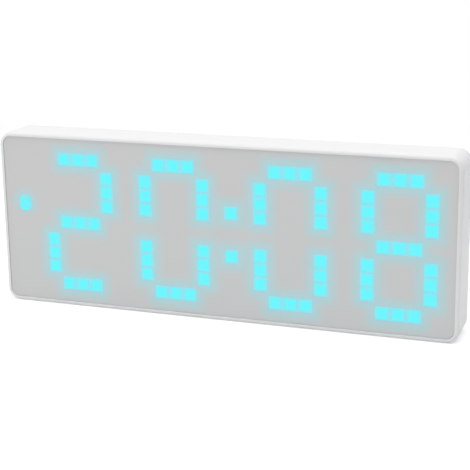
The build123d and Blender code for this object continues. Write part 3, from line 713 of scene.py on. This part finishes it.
def bell_shape(reach, depth):
    """A flat bell, a half disc on a skirt that widens, standing backwards from the origin."""
    crown, skirt_drop, flare = reach * 0.62, reach * 0.75, 1.45
    part = disc(crown)
    everything = part.verts[:] + part.edges[:] + part.faces[:]
    bmesh.ops.bisect_plane(
        part, geom=everything, plane_co=(0, 0, 0), plane_no=(0, 0, 1), clear_inner=True
    )
    hem = [item for item in part.edges if all(abs(vert.co.z) < TINY for vert in item.verts)]
    skirt = bmesh.ops.extrude_edge_only(part, edges=hem)
    low = [item for item in skirt["geom"] if isinstance(item, bmesh.types.BMVert)]
    bmesh.ops.translate(part, vec=(0, 0, -skirt_drop), verts=low)
    bmesh.ops.scale(part, vec=(flare, 1, 1), verts=low)
    pull_back(part, depth)
    return part


def plus_sheet(reach, arm):
    """A flat plus sign that looks backwards, its middle at the origin."""
    part = bmesh.new()
    bmesh.ops.create_grid(part, x_segments=3, y_segments=3, size=1.0)
    corners = [
        face for face in part.faces
        if min(abs(face.calc_center_median().x), abs(face.calc_center_median().y)) > 0.5
    ]
    bmesh.ops.delete(part, geom=corners, context="FACES")
    for axis in range(2):
        inner = [vert for vert in part.verts if abs(vert.co[axis]) < 0.5]
        outer = [vert for vert in part.verts if abs(vert.co[axis]) > 0.5]
        for group, factor in ((inner, arm * 3), (outer, reach)):
            scale = [1.0, 1.0, 1.0]
            scale[axis] = factor
            bmesh.ops.scale(part, vec=scale, verts=group)
    stand_up(part)
    return part


def mark_parts(key, rear):
    """The parts of a key's mark with their places across and up."""
    depth = rear.mark_height + rear.mark_sink
    reach, line = rear.mark, rear.line

    def dash(width, height, end):
        """A level or upright dash with rounded ends."""
        return rounded_block(width, depth, height, end)

    if key == "up":
        plus = plus_sheet(reach, line / 2)
        pull_back(plus, depth)
        return [(plus, 0, 0)]
    if key == "down":
        return [(dash(2 * reach, line, line / 4), 0, 0)]
    if key == "mode":
        minute, hour = reach * 0.66, reach * 0.5
        return [
            (flat_ring(reach - line / 2, line, depth), 0, 0),
            (dash(line, minute + line / 2, line / 4), 0, minute / 2 - line / 4),
            (dash(hour, line, line / 4), -line * 0.4 - hour / 2, 0),
        ]
    bell_rise, brim_drop, clapper = reach * 0.3, reach * 0.62, reach * 0.55
    return [
        (bell_shape(reach, depth), 0, bell_rise),
        (dash(2 * reach, line, line / 4), 0, -brim_drop),
        (dash(clapper, line, line / 3), 0, -brim_drop - line * 1.3),
    ]


def screw_blank(rear, shank):
    """A pointed shank with a rounded head that is open at its top, the head's seat at the origin."""
    part = bmesh.new()
    head, top = rear.head_radius, rear.head_height
    rim = head * 0.62
    profile = [
        (0.0, -shank), (rear.screw_core, rear.point - shank), (rear.screw_core, 0.0),
        (head, 0.0), (head, top), (rim, top),
    ]
    dots = [part.verts.new((radius, y, 0.0)) for radius, y in profile]
    lines = [part.edges.new(pair) for pair in zip(dots, dots[1:])]
    full_spin(part, dots + lines)
    bmesh.ops.remove_doubles(part, verts=part.verts, dist=TINY)

    def on_shoulder(vert):
        """Whether a vertex lies on the outer edge of the head's top."""
        return abs(vert.co.y - top) < TINY and abs(math.hypot(vert.co.x, vert.co.z) - head) < TINY

    shoulder = [item for item in part.edges if all(on_shoulder(vert) for vert in item.verts)]
    round_off(part, shoulder, rear.head_round, 6)
    return part


def cross_recess(rear):
    """The walls and the floor of a cross recess that narrows forwards from the origin."""
    narrowing = 0.55
    cross = plus_sheet(rear.recess_reach, rear.recess_arm)
    floor = pull_back(cross, -rear.recess_depth)
    bmesh.ops.scale(cross, vec=(narrowing, 1, narrowing), verts=floor)
    lid = [face for face in cross.faces if all(abs(vert.co.y) < TINY for vert in face.verts)]
    bmesh.ops.delete(cross, geom=lid, context="FACES")
    return cross


def screw_thread(rear, shank):
    """The ridge of a screw's thread, from above its point to under its head."""
    turns = (shank - rear.point) / rear.thread_pitch - 1
    steps = int(turns * THREAD_STEPS)
    foot = rear.thread_pitch * 0.3
    start = rear.point - shank + foot
    corners = [(rear.screw_core, -foot), (rear.screw_radius, 0.0), (rear.screw_core, foot)]
    ridge = bmesh.new()
    dots = [ridge.verts.new((radius, start + y, 0.0)) for radius, y in corners]
    ridge.faces.new(dots)
    bmesh.ops.spin(
        ridge, geom=ridge.faces[:], cent=(0, 0, 0), axis=(0, 1, 0), steps=steps,
        dvec=(0, rear.thread_pitch / THREAD_STEPS, 0), angle=math.tau * steps / THREAD_STEPS,
    )
    return ridge


def cross_screw(rear, shank):
    """A screw with a cross recess and a thread, its head standing backwards from the origin."""
    part = screw_blank(rear, shank)
    # Known fault: rounding the blank has removed vertices, so this moves 24 vertices of the head
    # backwards in place of those of the recess.
    add_part(part, cross_recess(rear), (0, rear.head_height, 0))
    bmesh.ops.bridge_loops(part, edges=[item for item in part.edges if item.is_boundary])
    add_part(part, screw_thread(rear, shank))
    return part


def square_tile(thickness, squares):
    """One rounded tile that stands forward from the origin, its UV map from -1 to 1 across it."""
    work = rounded_sheet(squares.side, squares.side, squares.corner, segments=4)
    pull_back(work, -thickness)
    layer = work.loops.layers.uv.new("square")
    for face in work.faces:
        for loop in face.loops:
            spot = loop.vert.co * 2 / squares.side
            loop[layer].uv = (spot.x, spot.z)
    return mesh_of(work, "tile")


def light_tiles(places, low_y, high_y, squares):
    """A tile at each place, between two depths."""
    tile = square_tile(high_y - low_y, squares)
    work = bmesh.new()
    for x, z in places:
        add_mesh(work, tile, (x, high_y, z))
    bpy.data.meshes.remove(tile)
    return work


def soft_lamp(name, place, size, power):
    """A rectangular lamp that faces the clock."""
    lamp = bpy.data.lights.new(name, "AREA")
    lamp.shape = "RECTANGLE"
    lamp.size, lamp.size_y = size
    lamp.energy = power
    holder = bpy.data.objects.new(name, lamp)
    holder.location = place
    holder.rotation_euler = (LAMP_AIM - holder.location).to_track_quat("-Z", "Y").to_euler()
    bpy.context.scene.collection.objects.link(holder)


def floor_material(stage):
    """A pale floor that keeps the clock's shadow and turns all white away from the clock."""
    shade = Shade("floor_white")
    x, y, _ = shade.split(shade.place())
    diffuse = shade.add("ShaderNodeBsdfDiffuse", None, {"Color": rgba(stage.floor_white)})
    lift = shade.add("ShaderNodeEmission", None, {"Color": WHITE, "Strength": stage.lift})
    lifted = shade.add("ShaderNodeAddShader", None, [diffuse, lift])
    white = shade.add("ShaderNodeEmission", None, {"Color": WHITE, "Strength": 1.0})
    far = x.from_point(y, 0.0, 0.0).ramp(stage.white_from, stage.white_at)
    pale = shade.add("ShaderNodeMixShader", None, {0: far, 1: lifted, 2: white})
    mixed = shade.add("ShaderNodeMixShader", None, {0: shade.seen(), 1: diffuse, 2: pale})
    return shade.finish(mixed)


def studio_world(strength):
    """An even pale world that the camera and reflections see as white."""
    shade = Shade("studio", bpy.data.worlds.new("studio"))
    lit = shade.add("ShaderNodeBackground", None, {"Color": WHITE, "Strength": strength})
    white = shade.add("ShaderNodeBackground", None, {"Color": WHITE, "Strength": 1.0})
    mixed = shade.add("ShaderNodeMixShader", None, {0: shade.seen(), 1: lit, 2: white})
    return shade.finish(mixed)


class CLOCK_OT_shells(bpy.types.Operator):
    """Gives the housing, the rear cover, the stand and the battery door their white plastic"""

    bl_idname = "clock.shells"
    bl_label = "Shells"

    def execute(self, context):
        finish = context.scene.shell_finish
        size, depth = finish.grain_size, finish.grain_depth
        shell = moulded_plastic("white_moulding", finish.white, finish.roughness, size, depth)
        wear(["housing", "stand_leg"], shell)
        rear_matt, rear_depth = finish.roughness + finish.rear_matt, depth * finish.rear_grain
        cover = moulded_plastic(
            "cover_moulding", finish.white, rear_matt, size, rear_depth, cover_marks
        )
        wear(["rear_cover"], cover)
        door = moulded_plastic(
            "door_moulding", finish.white, rear_matt, size, rear_depth, door_pointer
        )
        wear(["battery_door"], door)
        return {"FINISHED"}


class CLOCK_OT_keys(bpy.types.Operator):
    """Makes the four rear keys with their marks"""

    bl_idname = "clock.keys"
    bl_label = "Keys"

    def execute(self, context):
        finish = context.scene.shell_finish
        rear = context.scene.rear_details
        key_white = moulded_plastic(
            "key_moulding", finish.key_white, finish.roughness - finish.key_shine,
            finish.grain_size, finish.grain_depth / 2,
        )
        ink = plain("key_ink", rear.ink, 0.5)
        for key in KEYS:
            low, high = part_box(key + "_button")
            middle = (low + high) / 2
            cap_start = high.y - rear.cap_depth
            flange_start = cap_start - rear.flange
            work = bmesh.new()
            cap = rounded_block(
                rear.cap_width, rear.cap_depth, rear.cap_height, rear.cap_corner, rear.cap_edge
            )
            add_part(work, cap, (middle.x, cap_start, middle.z))
            flange = rounded_block(
                high.x - low.x, rear.flange, high.z - low.z, rear.cap_edge, rear.flange / 4
            )
            add_part(work, flange, (middle.x, flange_start, middle.z))
            stem = round_bar(rear.stem, flange_start - low.y)
            add_part(work, stem, (middle.x, low.y, middle.z))
            finish_piece(
                work, key + "_key_cap", key_white, key + "_key", [key + "_button"]
            )
            work = bmesh.new()
            for part, x, z in mark_parts(key, rear):
                place = (middle.x + x, high.y - rear.mark_sink, middle.z + z)
                add_part(work, part, place)
            finish_piece(work, key + "_key_mark", ink, key + "_key")
        return {"FINISHED"}


class CLOCK_OT_screws(bpy.types.Operator):
    """Makes the four screws of the rear cover"""

    bl_idname = "clock.screws"
    bl_label = "Cover screws"

    def execute(self, context):
        rear = context.scene.rear_details
        low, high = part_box("cover_screws")
        seat = high.y - rear.head_height
        work = bmesh.new()
        for x in (low.x + rear.head_radius, high.x - rear.head_radius):
            for z in (low.z + rear.head_radius, high.z - rear.head_radius):
                add_part(work, cross_screw(rear, seat - low.y), (x, seat, z))
        steel = plain("screw_steel", (0.60, 0.61, 0.63), 0.32, 1.0)
        finish_piece(work, "cover_screw_set", steel, "case", ["cover_screws"])
        return {"FINISHED"}


class CLOCK_OT_socket(bpy.types.Operator):
    """Makes the power socket's metal shell and its contacts"""

    bl_idname = "clock.socket"
    bl_label = "Power socket"

    def execute(self, context):
        rear = context.scene.rear_details
        low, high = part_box("socket_shell")
        middle = (low + high) / 2
        height = high.z - low.z
        round_end = height * 0.4999
        shell = rounded_sheet(high.x - low.x, height, round_end, segments=10)
        bmesh.ops.remove_doubles(shell, verts=shell.verts, dist=TINY)
        bmesh.ops.inset_region(
            shell, faces=shell.faces[:], thickness=rear.shell_wall, use_boundary=True,
            use_even_offset=True,
        )
        inner = max(shell.faces, key=lambda face: len(face.verts))
        bmesh.ops.delete(shell, geom=[inner], context="FACES")
        pull_back(shell, high.y - low.y)
        work = bmesh.new()
        add_part(work, shell, (middle.x, low.y, middle.z))
        steel = plain("nickel_shell", (0.66, 0.65, 0.62), 0.24, 1.0)
        finish_piece(work, "socket_sleeve", steel, "case", ["socket_shell"])

        tongue_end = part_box("socket_core")[1].y
        pitch = rear.tongue_width / (CONTACTS + 1)
        thickness = rear.tongue_thickness
        pad_width, pad_length, pad_height = pitch / 2, thickness * 4, thickness * 0.1
        pad_y = tongue_end - pad_length * 0.6
        pad_rise = (thickness + pad_height * 0.8) / 2
        work = bmesh.new()
        for step in range(CONTACTS):
            for side in (-1, 1):
                part = bmesh.new()
                bmesh.ops.create_cube(part, size=1.0)
                pad = (pad_width, pad_length, pad_height)
                bmesh.ops.scale(part, vec=pad, verts=part.verts)
                round_off(part, part.edges, pad_height / 4, 2)
                pad_x = middle.x + (step - (CONTACTS - 1) / 2) * pitch
                add_part(work, part, (pad_x, pad_y, middle.z + side * pad_rise))
        gold = plain("contact_gold", (0.83, 0.63, 0.28), 0.28, 1.0)
        finish_piece(work, "socket_contacts", gold, "case")
        return {"FINISHED"}


class CLOCK_OT_panel(bpy.types.Operator):
    """Gives the front panel its grey and the spread of the light in it"""

    bl_idname = "clock.panel"
    bl_label = "Front panel"

    def execute(self, context):
        material = panel_material(context.scene.panel_finish, context.scene.light_squares)
        wear(["front_panel"], material)
        return {"FINISHED"}


class CLOCK_OT_light_squares(bpy.types.Operator):
    """Makes the light squares of the digits and of the colon, and lights the alarm sign"""

    bl_idname = "clock.light_squares"
    bl_label = "Light squares"

    def execute(self, context):
        squares = context.scene.light_squares
        material = square_material(squares)
        for node in LIT_BARS:
            low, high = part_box(node)
            places = [spot for group in light_groups(node, squares) for spot in group]
            work = light_tiles(places, low.y, high.y, squares)
            name = node.replace("lit_", "squares_")
            finish_piece(work, name, material, "case", [node])
        sign = lit_surface(Shade("cyan_sign"), squares, rgba(squares.core))
        wear(["lit_alarm_sign"], sign)
        return {"FINISHED"}


class CLOCK_OT_inner_parts(bpy.types.Operator):
    """Gives the parts inside the case and the socket's core their finishes"""

    bl_idname = "clock.inner_parts"
    bl_label = "Inner parts"

    def execute(self, context):
        finish = context.scene.shell_finish
        grain = finish.grain_size
        grid = moulded_plastic("grid_moulding", (0.8, 0.8, 0.8), 0.5, grain, finish.grain_depth)
        wear(["light_grid"], grid)
        low_grain = 0.01 * MM
        black = moulded_plastic("black_moulding", (0.03, 0.03, 0.032), 0.45, grain, low_grain)
        wear(
            ["driver_chips", "buzzer", "socket_core", "cell_holder", "switch_bases"]
            + [name + "_plunger" for name in KEYS],
            black,
        )
        wear(["light_board"], board_material())
        wear(["light_chips"], plain("clear_resin", (0.8, 0.78, 0.5), 0.25))
        wear(["panel_tape"], plain("foam_tape", (0.72, 0.72, 0.7), 0.7))
        wear(["diffuser_film"], plain("frosted_film", (0.88, 0.88, 0.88), 0.6))
        metals = {
            "zinc_plating": ((0.62, 0.63, 0.65), 0.35, ["board_screws", "stand_pin"]),
            "contact_spring": ((0.70, 0.68, 0.62), 0.30, ["plus_contact", "minus_contact"]),
            "drawn_can": ((0.74, 0.74, 0.75), 0.32, ["capacitor", "watch_crystal", "coin_cell"]),
        }
        for name, (tint, roughness, nodes) in metals.items():
            wear(nodes, plain(name, tint, roughness, 1.0))
        return {"FINISHED"}


class CLOCK_OT_stage(bpy.types.Operator):
    """Sets the floor, the lamps, the world and the camera"""

    bl_idname = "clock.stage"
    bl_label = "Stage"

    def execute(self, context):
        stage = context.scene.stage_settings
        work = bmesh.new()
        bmesh.ops.create_grid(work, x_segments=1, y_segments=1, size=stage.floor_side / 2)
        mesh = mesh_of(work, "floor")
        floor = bpy.data.objects.new("floor", mesh)
        context.scene.collection.objects.link(floor)
        mesh.materials.append(floor_material(stage))

        context.scene.world = studio_world(stage.world)
        for name, place, size in LAMPS:
            soft_lamp(name, place, size, getattr(stage, name))

        lens = bpy.data.cameras.new("camera")
        lens.sensor_width = SENSOR_WIDTH
        lens.lens = stage.focal_length
        lens.shift_x, lens.shift_y = CAMERA_SHIFT
        lens.clip_start = NEAREST_SEEN
        camera = bpy.data.objects.new("camera", lens)
        camera.location = CAMERA_PLACE
        camera.rotation_euler = [math.radians(turn) for turn in CAMERA_DEGREES]
        context.scene.collection.objects.link(camera)
        context.scene.camera = camera
        context.scene.view_settings.view_transform = "Standard"
        return {"FINISHED"}


STEPS = [
    CLOCK_OT_shells,
    CLOCK_OT_keys,
    CLOCK_OT_screws,
    CLOCK_OT_socket,
    CLOCK_OT_panel,
    CLOCK_OT_light_squares,
    CLOCK_OT_inner_parts,
    CLOCK_OT_stage,
]


class CLOCK_PT_sidebar(bpy.types.Panel):
    """The clock's sizes, colours and steps."""

    bl_idname = "CLOCK_PT_sidebar"
    bl_label = "Desk Clock"
    bl_space_type = "VIEW_3D"
    bl_region_type = "UI"
    bl_category = "Desk Clock"

    def draw(self, context):
        for name, group in GROUPS:
            box = self.layout.box()
            for key in group.__annotations__:
                box.prop(getattr(context.scene, name), key)
        for step in STEPS:
            self.layout.operator(step.bl_idname)


CLASSES = [group for _, group in GROUPS] + STEPS + [CLOCK_PT_sidebar]


def register():
    """Adds the classes and the scene's settings."""
    for item in CLASSES:
        bpy.utils.register_class(item)
    for name, group in GROUPS:
        setattr(bpy.types.Scene, name, PointerProperty(type=group))


def unregister():
    """Takes the classes and the scene's settings away."""
    for name, _ in GROUPS:
        delattr(bpy.types.Scene, name)
    for item in reversed(CLASSES):
        bpy.utils.unregister_class(item)


def main():
    """Dresses the clock."""
    register()
    for step in STEPS:
        space, name = step.bl_idname.split(".")
        getattr(getattr(bpy.ops, space), name)()


if __name__ == "__main__":
    main()
